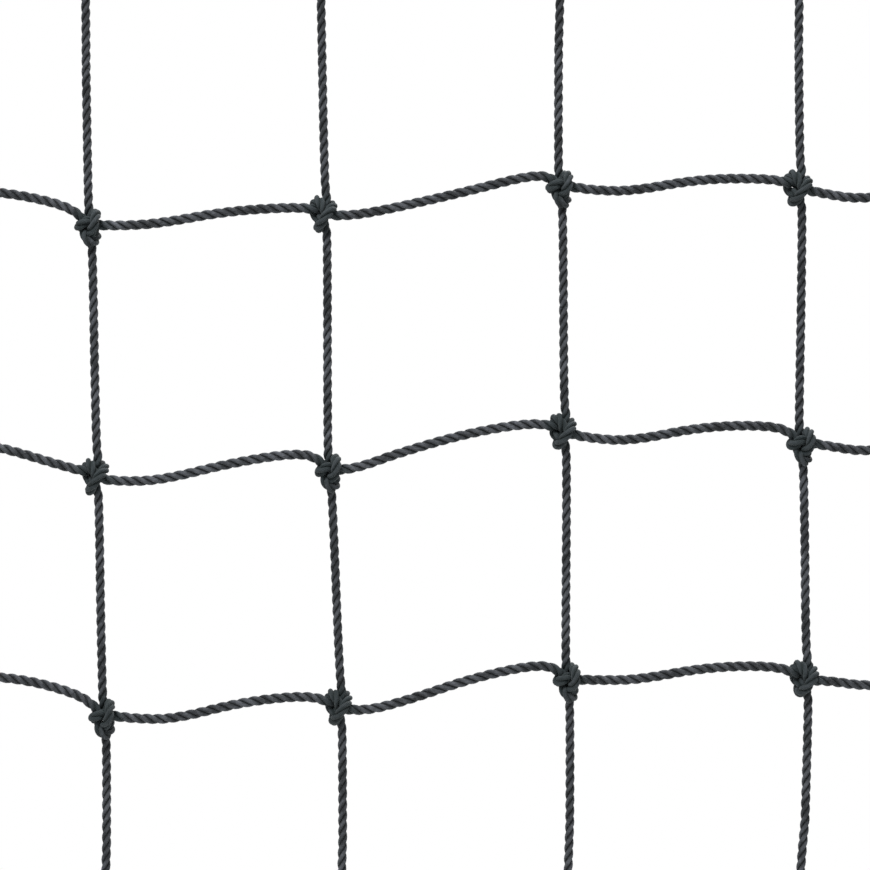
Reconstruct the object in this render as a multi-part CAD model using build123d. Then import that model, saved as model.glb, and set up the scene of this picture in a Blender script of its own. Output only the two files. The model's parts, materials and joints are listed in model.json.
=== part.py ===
"""Cargo climbing net: knotted twine meshes inside a laid border rope with a thimble eye at each corner.

Frame: X to the right, Y to the back, Z up. The net hangs in the XZ plane, and the origin is the middle
of the head rope. Lengths are in millimetres.

The net folds along four lines that run across it, so each rope and twine is made in bands: the head
band, three bands with one row of knots each, and the foot band.
"""
import os
from math import cos, hypot, pi, radians, sin, tan

from build123d import *

# ---- driving dimensions -------------------------------------------------------------------------
mesh_width = 240.0          # between two upright twines
mesh_height = 250.0         # between two rows of knots
head_mesh_height = 275.0    # from the head rope to the first row of knots
columns = 4                 # upright twines between the side ropes
rows = 3                    # rows of knots

twine_dia = 10.0            # laid mesh twine
rope_dia = 14.0             # laid border rope
row_rise = 0.04             # each row climbs this much for each millimetre to the right

fold_drop = 64.0            # fold line below the middle of a row of knots
head_fold_drop = 92.0       # first fold line below the head rope
fold_limit = 60.0           # degrees, each way
fold_clearance = 0.15       # kept round each cut end at the end of the fold

touch_gap = 0.1             # between cords that lie against each other
whipping_length = 20.0
whipping_wall = 1.6
whipping_reach_share = 1.9  # border rope's middle to the start of a whipping, in wrap radii
tail_past_whipping = 8.0
whipping_ease = 4.0         # straight stretch of twine kept past each end of a whipping

thimble_bore = 28.0
thimble_wall = 2.8          # between the bore and the bottom of the groove
thimble_width = 19.0
thimble_edge = 1.2          # rounding of the bore's mouths
groove_gap = 0.2            # between the rope and the groove
flange_share = 0.94         # depth of the groove's sides, as a share of the groove's radius
seizing_length = 22.0
seizing_wall = 1.8
neck_length = 26.0          # straight stretch where the two rope legs lie side by side
corner_bend = 32.0          # centre-line radius where the rope turns out to the eye
flare_bend = 20.0           # centre-line radius where the legs part below the eye
flare_angle = 30.0          # degrees

# ---- the knot ------------------------------------------------------------------------------------
# A netting knot is a sheet bend: a bight, and a hitch taken through and round it. The points are the
# corners of each cord's route about the knot's middle, in twine diameters: right, back, up.
bight_up_to_left = [
    (-0.2, 0.3, 2.6), (-0.2, 0.6, 0.4), (0.8, 0.9, -0.5), (1.2, 0.1, -1.3), (0.3, -0.8, -1.8),
    (-0.9, -0.9, -1.1), (-0.9, 0.2, -0.1), (-1.3, 0.0, 0.9), (-2.8, 0.0, 1.5),
]
hitch_right_to_down = [
    (3.2, 0.0, 0.0), (1.9, 0.0, 0.0), (0.7, 0.1, 0.1), (-0.2, -1.0, 0.4), (-1.2, -1.1, 0.1),
    (-2.0, -0.4, -0.2), (-1.8, 0.7, 0.0), (-0.8, 1.5, 0.5), (0.3, 1.5, 1.0), (1.0, 0.4, 1.3),
    (1.4, -1.2, 0.9), (1.2, -1.7, -0.2), (0.4, -1.0, -0.7), (0.0, 0.2, -1.1), (0.2, 0.2, -2.8),
]
# Every second knot is the same knot turned over about the line that rises to the right, and it leans
# because the upright twines are the tight ones. Its legs then leave at these points.
lean_of_turned_knot = 20.0
turned_right_leg = (2.8, 0.0, -0.4)
turned_down_leg = (0.4, 0.0, -3.0)
turned_left_leg = (-3.2, 0.0, 0.6)
turned_up_leg = (0.2, 0.0, 3.0)

# Where each knot was pulled to, from its even place in the net: right, up. Top row first.
knot_offsets = [
    [(1, 0), (-2, -1), (-3, 11), (1, -3)],
    [(1, -4), (0, -13), (-3, 14), (0, -14)],
    [(6, 1), (4, -2), (-2, 10), (-2, -1)],
]
# How far each cross cord hangs below the straight line between its ends, near its left end and past
# its middle, from the left border to the right one.
cross_dips = [
    [(3, 1), (5, 1), (6, 1), (4, 0), (3, 1)],
    [(2, 2), (6, 1), (5, 0), (4, 1), (4, 1)],
    [(3, 1), (6, 2), (5, 0), (4, 1), (3, 0)],
]
near_dip_at = 0.22
far_dip_at = 0.62
# Height of each cross cord on the left and right side ropes, from the knot beside it.
left_heights = [34, 44, 38]
right_heights = [-4, 4, -6]

# ---- worked out from the above -------------------------------------------------------------------
twine_radius = twine_dia / 2
rope_radius = rope_dia / 2
half_width = mesh_width * (columns + 1) / 2
foot_z = -(head_mesh_height + rows * mesh_height)
half_touch = touch_gap / 2

lay_side = twine_radius + half_touch                     # twine middle to the middle of a touching pair
wrap_radius = rope_radius + twine_radius + touch_gap     # twine's middle round a border rope
whipping_reach = whipping_reach_share * wrap_radius
whipping_end = whipping_reach + whipping_length

neck_side = rope_radius + half_touch
groove_radius = rope_radius + groove_gap
eye_radius = thimble_bore / 2 + thimble_wall + groove_radius
corner_tangent = corner_bend * tan(radians(45 / 2))
corner_setback = neck_side * 2 ** 0.5 + corner_tangent
neck_start = corner_tangent - neck_side
flare_tangent = flare_bend * tan(radians(flare_angle / 2))
flare_corner = neck_start + neck_length + flare_tangent
eye_past_flare = (eye_radius - neck_side * cos(radians(flare_angle))) / sin(radians(flare_angle))
eye_out = flare_corner + eye_past_flare
flare_run = (eye_past_flare * cos(radians(flare_angle)) - neck_side * sin(radians(flare_angle))
             - flare_tangent)

os.makedirs("parts", exist_ok=True)


def save(name, shape):
    """Write one sub-part to its own file and say what it holds."""
    export_step(shape, f"parts/{name}.step")
    print(f"{name}: {len(shape.solids())} solid(s), {shape.volume / 1000:.1f} cm3")


def fold_height(row, x):
    """Height of the fold line below a row of knots; row 0 is the one below the head rope."""
    if row == 0:
        return -head_fold_drop
    return row_height(row) - fold_drop + row_rise * x


def row_height(row):
    return -(head_mesh_height + (row - 1) * mesh_height)


def cap_reach(radius):
    """From the fold axis to the middle of a rounded end that just clears its twin at the limit."""
    return (radius + fold_clearance) / cos(radians(fold_limit / 2))


# ---- cords ---------------------------------------------------------------------------------------
def length(a, b):
    return (Vector(*b) - Vector(*a)).length


def corner_radii(points):
    """The largest arcs that the runs allow: 0.45 of the shorter run at each corner."""
    radii = []
    for before, corner, after in zip(points, points[1:], points[2:]):
        turn = (Vector(*corner) - Vector(*before)).get_angle(Vector(*after) - Vector(*corner))
        run = min(length(before, corner), length(corner, after))
        radii.append(0.45 * run / tan(radians(turn / 2)))
    return radii


def tube(path, diameter):
    section = Plane(origin=path @ 0, z_dir=path % 0) * Circle(diameter / 2)
    return sweep(section, path=path)


def round_end(at, outward, radius):
    """Half a ball that rounds the end of a cord."""
    return Plane(origin=at, z_dir=outward) * Sphere(radius, arc_size1=0)


def cord(name, points, diameter, round_start, round_finish):
    """A cord along straight runs joined by arcs, with its ends rounded or cut square."""
    radii = corner_radii(points)
    path = FilletPolyline(*points, radius=radii)
    body = tube(path, diameter)
    swept = pi * (diameter / 2) ** 2 * path.length
    print(f"{name}: length {path.length:.0f}, tightest bend {min(radii):.1f}, "
          f"volume {body.volume / swept:.3f} of section times length")
    if round_start:
        body += round_end(path @ 0, -(path % 0), diameter / 2)
    if round_finish:
        body += round_end(path @ 1, path % 1, diameter / 2)
    return body


def end_loop(height, inward):
    """Corners of a twine's end round a side rope, from its cut tail to the twine's lead.

    inward is +1 on the left side rope and -1 on the right one.
    """
    return [(-inward * half_width + inward * reach, y, height) for reach, y in loop_profile()]


def loop_profile():
    """A twine's end round a border rope: distance from the rope's middle, and place front to back."""
    return [
        (whipping_end + tail_past_whipping, lay_side),
        (whipping_reach - whipping_ease, lay_side),
        (-0.37 * wrap_radius, 1.26 * wrap_radius),
        (-1.24 * wrap_radius, 0.0),
        (-0.37 * wrap_radius, -1.26 * wrap_radius),
        (whipping_reach - whipping_ease, -lay_side),
        (whipping_end + whipping_ease, -lay_side),
        (whipping_end + whipping_ease + 2 * twine_dia, 0.0),
    ]


# ---- knots ---------------------------------------------------------------------------------------
def turned_over(points):
    """The same route turned over about the line that rises to the right, and leaning."""
    lean = radians(lean_of_turned_knot)
    turned = []
    for x, y, z in points:
        turned.append((z * cos(lean) + x * sin(lean), -y, x * cos(lean) - z * sin(lean)))
    return turned


def is_turned(column, row):
    return (column + row) % 2 == 1


def knot_middle(column, row):
    right, up = knot_offsets[row - 1][column - 1]
    x = (column - (columns + 1) / 2) * mesh_width
    return x + right, row_height(row) + row_rise * x + up


def placed(route, column, row):
    x0, z0 = knot_middle(column, row)
    return [(x0 + x * twine_dia, y * twine_dia, z0 + z * twine_dia) for x, y, z in route]


def up_to_left(column, row):
    """The cord that comes down into a knot and leaves it on the left."""
    if not is_turned(column, row):
        return placed(bight_up_to_left, column, row)
    inner = turned_over(hitch_right_to_down)[1:-1]
    return placed([turned_up_leg, *inner, turned_left_leg], column, row)


def right_to_down(column, row):
    """The cord that comes into a knot from the right and leaves it below."""
    if not is_turned(column, row):
        return placed(hitch_right_to_down, column, row)
    inner = turned_over(bight_up_to_left)[1:-1]
    return placed([turned_right_leg, *inner, turned_down_leg], column, row)


# ---- mesh twine ----------------------------------------------------------------------------------
def on_fold(column, row):
    """Where an upright twine crosses the fold line below a row."""
    if row == 0:
        x = up_to_left(column, 1)[0][0]
    elif row == rows:
        x = right_to_down(column, row)[-1][0]
    else:
        x = (right_to_down(column, row)[-1][0] + up_to_left(column, row + 1)[0][0]) / 2
    return x, fold_height(row, x)


def above_fold(column, row):
    x, z = on_fold(column, row)
    return x, 0.0, z + cap_reach(twine_radius)


def below_fold(column, row):
    x, z = on_fold(column, row)
    return x, 0.0, z - cap_reach(twine_radius)


def cross_points(left_end, right_end, dips):
    """The two corners between the ends of a cross cord, from right to left."""
    points = []
    for share, dip in zip((far_dip_at, near_dip_at), reversed(dips)):
        x = left_end[0] + share * (right_end[0] - left_end[0])
        z = left_end[2] + share * (right_end[2] - left_end[2]) - dip
        points.append((x, 0.0, z))
    return points


def row_twine_route(step, row):
    """Corners of one twine in one row's band, from its upper right end to its lower left end.

    The twine comes down into knot number step, crosses to the knot on its left and goes down from it.
    The first starts from the left side rope, and the last from the right one.
    """
    dips = cross_dips[row - 1][step - 1]
    if step == 1:
        loop = end_loop(knot_middle(1, row)[1] + left_heights[row - 1], 1)
        into = [below_fold(1, row - 1), *up_to_left(1, row)]
        return [*into, *cross_points(loop[-1], into[-1], dips), *reversed(loop)]
    if step == columns + 1:
        loop = end_loop(knot_middle(columns, row)[1] + right_heights[row - 1], -1)
        out = [*right_to_down(columns, row), above_fold(columns, row)]
        return [*loop, *cross_points(out[0], loop[-1], dips), *out]
    into = [below_fold(step, row - 1), *up_to_left(step, row)]
    out = [*right_to_down(step - 1, row), above_fold(step - 1, row)]
    return [*into, *cross_points(out[0], into[-1], dips), *out]


def upright_end_route(column, rope_z, fold_row, downward):
    """Corners of a twine's end on the head or foot rope. downward is +1 below the head rope."""
    x, z = on_fold(column, fold_row)
    loop = [(x, y, rope_z - downward * reach) for reach, y in loop_profile()]
    return [*loop, (x, 0.0, z + downward * cap_reach(twine_radius))]


def twine_number(step, row):
    """Seven twines run down the net in steps, from the upper right to the lower left."""
    return step + row - 1


for row in range(1, rows + 1):
    for step in range(1, columns + 2):
        name = f"mesh_twine_{twine_number(step, row)}_row_{row}"
        route = row_twine_route(step, row)
        save(name, cord(name, route, twine_dia, step <= columns, step > 1))

for column in range(1, columns + 1):
    name = f"mesh_twine_{twine_number(column, 1)}_head"
    route = upright_end_route(column, 0.0, 0, 1)
    save(name, cord(name, route, twine_dia, False, True))

    name = f"mesh_twine_{twine_number(column + 1, rows)}_foot"
    route = upright_end_route(column, foot_z, rows, -1)
    save(name, cord(name, route, twine_dia, False, True))


# ---- whippings -----------------------------------------------------------------------------------
def sleeve(middle, direction, length, cord_radius, side, wall):
    """A wound sleeve round two cords that lie side by side, front and back of each other."""
    outer = SlotCenterToCenter(2 * side, 2 * (cord_radius + half_touch + wall))
    inner = SlotCenterToCenter(2 * side, 2 * (cord_radius + half_touch))
    plane = Plane(origin=middle, x_dir=(0, 1, 0), z_dir=direction)
    return plane * extrude(outer - inner, length / 2, both=True)


def whipping(middle, direction):
    return sleeve(middle, direction, whipping_length, twine_radius, lay_side, whipping_wall)


whipping_middle = whipping_reach + whipping_length / 2

for row in range(1, rows + 1):
    left_z = knot_middle(1, row)[1] + left_heights[row - 1]
    right_z = knot_middle(columns, row)[1] + right_heights[row - 1]
    pair = [
        whipping((-half_width + whipping_middle, 0, left_z), (1, 0, 0)),
        whipping((half_width - whipping_middle, 0, right_z), (1, 0, 0)),
    ]
    save(f"whippings_row_{row}", Compound(children=pair))

head_whippings = []
foot_whippings = []
for column in range(1, columns + 1):
    head_x = on_fold(column, 0)[0]
    foot_x = on_fold(column, rows)[0]
    head_whippings.append(whipping((head_x, 0, -whipping_middle), (0, 0, 1)))
    foot_whippings.append(whipping((foot_x, 0, foot_z + whipping_middle), (0, 0, 1)))
save("whippings_head", Compound(children=head_whippings))
save("whippings_foot", Compound(children=foot_whippings))


# ---- border rope ---------------------------------------------------------------------------------
def walk(start, heading, moves):
    """A path in the XZ plane from straight runs and turns: (run,) or (radius, turn in degrees)."""
    edges = []
    here = Vector(*start)
    for move in moves:
        ahead = Vector(cos(radians(heading)), sin(radians(heading)))
        if len(move) == 1:
            edges.append(Line(here, here + ahead * move[0]))
        else:
            radius, turn = move
            edges.append(JernArc(start=here, tangent=ahead, radius=radius, arc_size=turn))
            heading += turn
        here = edges[-1] @ 1
    return Plane.XZ * Wire(edges)


eye_moves = [
    (corner_bend, 45), (neck_length,), (flare_bend, flare_angle), (flare_run,),
    (eye_radius, -(180 + 2 * flare_angle)),
    (flare_run,), (flare_bend, flare_angle), (neck_length,), (corner_bend, 45),
]

corners = {
    "top_left": (-half_width, 0.0, -1, 1),
    "top_right": (half_width, 0.0, 1, 1),
    "bottom_left": (-half_width, foot_z, -1, -1),
    "bottom_right": (half_width, foot_z, 1, -1),
}


def corner_rope(name, x, rope_z, side, up):
    """The border rope at one corner, clockwise: from the side or the end rope, out round the eye and on.

    side is -1 at the left and +1 at the right, and up is +1 at the top and -1 at the bottom.
    """
    fold_end = fold_height(0 if up > 0 else rows, x) + up * cap_reach(rope_radius)
    side_run = abs(rope_z - fold_end) - corner_setback
    if side != up:
        path = walk((x, fold_end), 90 * up, [(side_run,), *eye_moves])
    else:
        heading = 0 if up > 0 else 180
        path = walk((x - side * corner_setback, rope_z), heading, [*eye_moves, (side_run,)])
    print(f"{name}: length {path.length:.0f}")
    save(name, tube(path, rope_dia) + round_end((x, 0, fold_end), (0, 0, -up), rope_radius))


for corner, (x, rope_z, side, up) in corners.items():
    corner_rope(f"corner_rope_{corner}", x, rope_z, side, up)

end_rope_length = 2 * (half_width - corner_setback)
for name, rope_z in (("head_rope", 0.0), ("foot_rope", foot_z)):
    print(f"{name}: length {end_rope_length:.0f}")
    save(name, Pos(0, 0, rope_z) * Rot(0, 90, 0) * Cylinder(rope_radius, end_rope_length))

for side, x in (("left", -half_width), ("right", half_width)):
    for row in range(1, rows + 1):
        top = fold_height(row - 1, x) - cap_reach(rope_radius)
        bottom = fold_height(row, x) + cap_reach(rope_radius)
        straight = Pos(x, 0, (top + bottom) / 2) * Cylinder(rope_radius, top - bottom)
        straight += round_end((x, 0, top), (0, 0, 1), rope_radius)
        straight += round_end((x, 0, bottom), (0, 0, -1), rope_radius)
        save(f"{side}_side_rope_row_{row}", straight)


# ---- corner eyes ---------------------------------------------------------------------------------
def thimble():
    """A round grooved thimble on its own axis, which is Z here."""
    bore_radius = thimble_bore / 2
    groove_half = flange_share * groove_radius
    flange_radius = eye_radius - (groove_radius ** 2 - groove_half ** 2) ** 0.5
    half = thimble_width / 2
    outline = Polyline(
        (flange_radius, groove_half), (flange_radius, half), (bore_radius, half),
        (bore_radius, -half), (flange_radius, -half), (flange_radius, -groove_half),
    )
    groove = ThreePointArc(
        (flange_radius, -groove_half), (eye_radius - groove_radius, 0), (flange_radius, groove_half))
    ring = revolve(Plane.XZ * make_face(outline + groove), Axis.Z)
    mouths = [edge for edge in ring.edges().filter_by(GeomType.CIRCLE)
              if abs(edge.radius - bore_radius) < 0.01]
    return fillet(mouths, thimble_edge)


half_root = 0.5 ** 0.5
for corner, (x, z, side, up) in corners.items():
    eye = (x + side * eye_out * half_root, 0, z + up * eye_out * half_root)
    save(f"thimble_{corner}", Pos(*eye) * Rot(90, 0, 0) * thimble())
    print(f"  middle of {corner} eye: {eye[0]:.2f}, {eye[2]:.2f}")

    neck_middle = neck_start + neck_length / 2
    middle = (x + side * neck_middle * half_root, 0, z + up * neck_middle * half_root)
    across_legs = Plane(
        origin=middle, x_dir=(side * half_root, 0, -up * half_root), z_dir=(side, 0, up))
    outer = SlotCenterToCenter(2 * neck_side, 2 * (neck_side + seizing_wall))
    inner = SlotCenterToCenter(2 * neck_side, 2 * neck_side)
    save(f"seizing_{corner}", across_legs * extrude(outer - inner, seizing_length / 2, both=True))
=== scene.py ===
# %% [markdown]
# # A knotted climbing net
#
# The net is made of three-strand laid twine, knotted into large square meshes inside a border rope.
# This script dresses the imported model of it. Every length here is in metres, and every piece is made
# where it hangs, with its object at the origin.
#
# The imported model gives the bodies, the fold lines and the boxes. Nothing in it is moved.

# %% Load the frame
import json
from math import cos, pi, radians, sin, tan

import bpy
import numpy as np
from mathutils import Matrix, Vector


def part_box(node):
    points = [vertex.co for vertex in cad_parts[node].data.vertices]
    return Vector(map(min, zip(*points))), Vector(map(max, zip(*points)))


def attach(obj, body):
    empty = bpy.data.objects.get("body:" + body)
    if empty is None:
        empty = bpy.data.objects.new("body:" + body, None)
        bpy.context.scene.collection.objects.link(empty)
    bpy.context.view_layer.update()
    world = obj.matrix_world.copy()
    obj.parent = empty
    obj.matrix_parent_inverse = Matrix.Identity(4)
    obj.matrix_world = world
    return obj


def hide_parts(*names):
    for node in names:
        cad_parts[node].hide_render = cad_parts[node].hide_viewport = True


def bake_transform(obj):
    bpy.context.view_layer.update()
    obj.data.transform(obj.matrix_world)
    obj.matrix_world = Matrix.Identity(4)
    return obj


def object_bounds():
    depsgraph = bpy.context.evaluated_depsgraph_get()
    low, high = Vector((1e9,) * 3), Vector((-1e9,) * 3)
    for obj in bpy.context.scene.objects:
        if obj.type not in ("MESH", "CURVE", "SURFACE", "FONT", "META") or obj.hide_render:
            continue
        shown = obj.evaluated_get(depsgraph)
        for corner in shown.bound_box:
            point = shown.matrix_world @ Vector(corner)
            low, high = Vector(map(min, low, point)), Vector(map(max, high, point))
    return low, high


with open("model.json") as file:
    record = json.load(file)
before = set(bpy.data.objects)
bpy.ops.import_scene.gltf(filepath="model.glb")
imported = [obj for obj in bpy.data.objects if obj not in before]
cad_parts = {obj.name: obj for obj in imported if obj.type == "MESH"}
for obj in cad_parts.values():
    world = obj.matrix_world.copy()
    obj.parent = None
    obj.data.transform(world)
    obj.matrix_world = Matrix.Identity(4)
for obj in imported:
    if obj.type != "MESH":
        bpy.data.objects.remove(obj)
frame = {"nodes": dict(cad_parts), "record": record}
cad_low, cad_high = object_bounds()
record = frame["record"]
folds = {joint["name"]: joint for joint in record["behaviour"]["joints"]}
mounts = {mount["name"]: mount for mount in record["mounts"]}
bpy.ops.object.select_all(action="DESELECT")

# %% [markdown]
# ## Sizes
#
# The driving sizes are the design's own: the twine's thickness, the mesh and the slope of the rows.
# The side ropes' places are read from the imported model, so they can't disagree with it.

# %% Sizes of the net
MM = 0.001
TWINE = 10 * MM
ROPE = 14 * MM
MESH_WIDTH = 240 * MM
MESH_HEIGHT = 250 * MM
HEAD_MESH_HEIGHT = 275 * MM
COLUMNS = 4
ROWS = 3
ROW_RISE = 0.04
TOUCH = 0.1 * MM

side_low, side_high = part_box("right_side_rope_row_1")
HALF_WIDTH = (side_low[0] + side_high[0]) / 2
FOOT_Z = -(HEAD_MESH_HEIGHT + ROWS * MESH_HEIGHT)
BANDS = ["head_band", "row_1_band", "row_2_band", "row_3_band", "foot_band"]
FOLDS = ["head_fold", "row_1_fold", "row_2_fold", "row_3_fold"]
print(f"net {2 * HALF_WIDTH:.3f} m wide, {-FOOT_Z:.3f} m high")

# %% [markdown]
# ## The knot
#
# A netting knot is a sheet bend. One twine makes a bight, and the other comes up through it, passes
# behind both legs and tucks under itself. The lists hold the corners of each twine's route about the
# knot's middle, in twine diameters: right, back, up. Every second knot is the same knot turned over
# about the line that rises to the right. It leans, because the upright twines carry the weight.
#
# The routes are those of a loose knot of round cords. In use the knot is drawn tight: it is narrower
# than it is high, and a turned knot is drawn in by other shares than one that isn't turned.

# %% Routes through a knot
BIGHT_UP_TO_LEFT = [
    (-0.2, 0.3, 2.6), (-0.2, 0.6, 0.4), (0.8, 0.9, -0.5), (1.2, 0.1, -1.3), (0.3, -0.8, -1.8),
    (-0.9, -0.9, -1.1), (-0.9, 0.2, -0.1), (-1.3, 0.0, 0.9), (-2.8, 0.0, 1.5),
]
HITCH_RIGHT_TO_DOWN = [
    (3.2, 0.0, 0.0), (1.9, 0.0, 0.0), (0.7, 0.1, 0.1), (-0.2, -1.0, 0.4), (-1.2, -1.1, 0.1),
    (-2.0, -0.4, -0.2), (-1.8, 0.7, 0.0), (-0.8, 1.5, 0.5), (0.3, 1.5, 1.0), (1.0, 0.4, 1.3),
    (1.4, -1.2, 0.9), (1.2, -1.7, -0.2), (0.4, -1.0, -0.7), (0.0, 0.2, -1.1), (0.2, 0.2, -2.8),
]
LEAN_OF_TURNED_KNOT = radians(20)
TURNED_RIGHT_LEG = (2.8, 0.0, -0.4)
TURNED_DOWN_LEG = (0.4, 0.0, -3.0)
TURNED_LEFT_LEG = (-3.2, 0.0, 0.6)
TURNED_UP_LEG = (0.2, 0.0, 3.0)

# how far a knot is drawn in: across, front to back, above its middle and below it
PLAIN_KNOT_DRAWN_IN = (0.55, 0.9, 0.97, 1.10)
TURNED_KNOT_DRAWN_IN = (0.64, 0.9, 0.88, 0.88)
# a point this many diameters from the middle is out on a leg, which isn't drawn in
LEG_FROM = 2.5
# the two points at the back of a turned hitch, slipped to the left as it is pulled
BACK_OF_HITCH = (2, 3)
BACK_OF_HITCH_SLIP = -0.4

# each knot's place off the even grid, right and up in millimetres, by row and column
KNOT_OFFSETS = [
    [(1, 0), (-2, -1), (0, 11), (1, -3)],
    [(1, -4), (0, -13), (-3, 14), (0, -14)],
    [(6, 1), (4, -2), (-2, 10), (-2, -1)],
]
# how high the cross cord leaves each knot, in millimetres from where the knot would send it
LEFT_LEG_LIFTS = [[7, 0, -2, 3], [4, 4, 2, 4], [9, 5, 2, 6]]
RIGHT_LEG_LIFTS = [[-1, 0, -4, -4], [-3, 3, -5, -4], [-3, -2, -1, -1]]
print("bight:", len(BIGHT_UP_TO_LEFT), "points, hitch:", len(HITCH_RIGHT_TO_DOWN), "points")

# %% Placing a knot in the net


def is_turned(column, row):
    return (column + row) % 2 == 1


def row_height(row):
    return -(HEAD_MESH_HEIGHT + (row - 1) * MESH_HEIGHT)


def knot_middle(column, row):
    right, up = KNOT_OFFSETS[row - 1][column - 1]
    x = (column - (COLUMNS + 1) / 2) * MESH_WIDTH
    return x + right * MM, row_height(row) + ROW_RISE * x + up * MM


def turned_over(points):
    c, s = cos(LEAN_OF_TURNED_KNOT), sin(LEAN_OF_TURNED_KNOT)
    return [(z * c + x * s, -y, x * c - z * s) for x, y, z in points]


def placed(route, column, row):
    """A route in its place in the net, drawn in as in a tight knot, up to the ends of its legs."""
    x0, z0 = knot_middle(column, row)
    drawn_in = TURNED_KNOT_DRAWN_IN if is_turned(column, row) else PLAIN_KNOT_DRAWN_IN
    points = []
    for x, y, z in route:
        across, deep, above, below = drawn_in
        if max(abs(x), abs(z)) > LEG_FROM:
            across, deep, above, below = 1.0, 1.0, 1.0, 1.0
        high = above if z > 0 else below
        points.append((x0 + across * x * TWINE, deep * y * TWINE, z0 + high * z * TWINE))
    return points


def lifted(points, i, lift):
    """The same points, with one of them raised by so many millimetres."""
    x, y, z = points[i]
    points[i] = (x, y, z + lift * MM)
    return points


def up_to_left(column, row):
    """The twine that comes down into a knot and leaves it on the left."""
    lift = LEFT_LEG_LIFTS[row - 1][column - 1]
    if not is_turned(column, row):
        return lifted(placed(BIGHT_UP_TO_LEFT, column, row), -1, lift)
    inner = turned_over(HITCH_RIGHT_TO_DOWN)[1:-1]
    for i in BACK_OF_HITCH:
        x, y, z = inner[i]
        inner[i] = (x + BACK_OF_HITCH_SLIP, y, z)
    return lifted(placed([TURNED_UP_LEG, *inner, TURNED_LEFT_LEG], column, row), -1, lift)


def right_to_down(column, row):
    """The twine that comes into a knot from the right and leaves it below."""
    lift = RIGHT_LEG_LIFTS[row - 1][column - 1]
    if not is_turned(column, row):
        return lifted(placed(HITCH_RIGHT_TO_DOWN, column, row), 0, lift)
    inner = turned_over(BIGHT_UP_TO_LEFT)[1:-1]
    return lifted(placed([TURNED_RIGHT_LEG, *inner, TURNED_DOWN_LEG], column, row), 0, lift)


print("first knot at", [round(value / MM) for value in knot_middle(1, 1)], "mm, right and up")

# %% [markdown]
# ## Routes of the twines
#
# Seven twines run down the net in steps. A twine comes down into a knot, crosses to the knot on its
# left and goes down from that one. The cross cords hang a little, because the weight is on the upright
# ones. At a border rope the twine goes round it and back on itself.
#
# No two meshes hang alike, so each cross cord has its own dips, and each tie at the border its own
# place. These are in millimetres.

# %% How the cords hang
# how far each cross cord lies below its chord near its left end and past its middle, by row and twine
CROSS_DIPS = [
    [(-3, -6), (2, -3), (2, 2), (4, -4), (6, 2)],
    [(-2, -3), (5, -1), (-4, -6), (6, -4), (7, 3)],
    [(-3, -8), (6, -2), (1, -4), (3, -4), (5, 2)],
]
NEAR_DIP_AT = 0.22
FAR_DIP_AT = 0.62
# how high each side tie is above the nearest knot, by row
LEFT_HEIGHTS = [40, 48, 46]
RIGHT_HEIGHTS = [-7, 2, -8]
# how far right of the nearest knot's leg each tie at the head and foot ropes stands, by column
HEAD_SHIFTS = [2, 0, 5, 3]
FOOT_SHIFTS = [-4, -4, -6, -12]
print(len(CROSS_DIPS), "rows of", len(CROSS_DIPS[0]), "cross cords")

# %% A loop round a border rope
WRAP_RADIUS = ROPE / 2 + TWINE / 2 + TOUCH
LAY_SIDE = TWINE / 2 + TOUCH / 2
WHIPPING_START = 1.9 * WRAP_RADIUS
WHIPPING_LENGTH = 20 * MM
WHIPPING_END = WHIPPING_START + WHIPPING_LENGTH
WHIPPING_EASE = 4 * MM
TAIL = 8 * MM

# the corners of a loop's route: how far in from the rope's middle, and how far back
LOOP_PROFILE = [
    (WHIPPING_END + TAIL, LAY_SIDE),
    (WHIPPING_START - WHIPPING_EASE, LAY_SIDE),
    (-0.37 * WRAP_RADIUS, 1.26 * WRAP_RADIUS),
    (-1.24 * WRAP_RADIUS, 0.0),
    (-0.37 * WRAP_RADIUS, -1.26 * WRAP_RADIUS),
    (WHIPPING_START - WHIPPING_EASE, -LAY_SIDE),
    (WHIPPING_END + WHIPPING_EASE, -LAY_SIDE),
    (WHIPPING_END + WHIPPING_EASE + 2 * TWINE, 0.0),
]


def end_loop(height, inward):
    """A twine's end round a side rope. inward is 1 on the left side and -1 on the right."""
    return [(-inward * HALF_WIDTH + inward * reach, y, height) for reach, y in LOOP_PROFILE]


print(f"a loop's tail reaches {LOOP_PROFILE[0][0] / MM:.0f} mm in from the rope's middle")

# %% Routes from knot to knot


def cross_points(left_end, right_end, dips):
    points = []
    for share, dip in zip((FAR_DIP_AT, NEAR_DIP_AT), reversed(dips)):
        x = left_end[0] + share * (right_end[0] - left_end[0])
        z = left_end[2] + share * (right_end[2] - left_end[2]) - dip * MM
        points.append((x, 0.0, z))
    return points


def leg_bottom(column, row):
    return right_to_down(column, row)[-1]


def leg_top(column, row):
    return up_to_left(column, row)[0]


def cut(column, row):
    """The middle of the upright leg below a row, where one band's twine meets the next one's."""
    if row == 0:
        x, _, z = leg_top(column, 1)
        return x + HEAD_SHIFTS[column - 1] / 2 * MM, 0.0, z / 2
    if row == ROWS:
        x, _, z = leg_bottom(column, row)
        return x + FOOT_SHIFTS[column - 1] / 2 * MM, 0.0, (z + FOOT_Z) / 2
    a, b = leg_bottom(column, row), leg_top(column, row + 1)
    return (a[0] + b[0]) / 2, 0.0, (a[2] + b[2]) / 2


def left_loop_height(row):
    return knot_middle(1, row)[1] + LEFT_HEIGHTS[row - 1] * MM


def right_loop_height(row):
    return knot_middle(COLUMNS, row)[1] + RIGHT_HEIGHTS[row - 1] * MM


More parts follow.
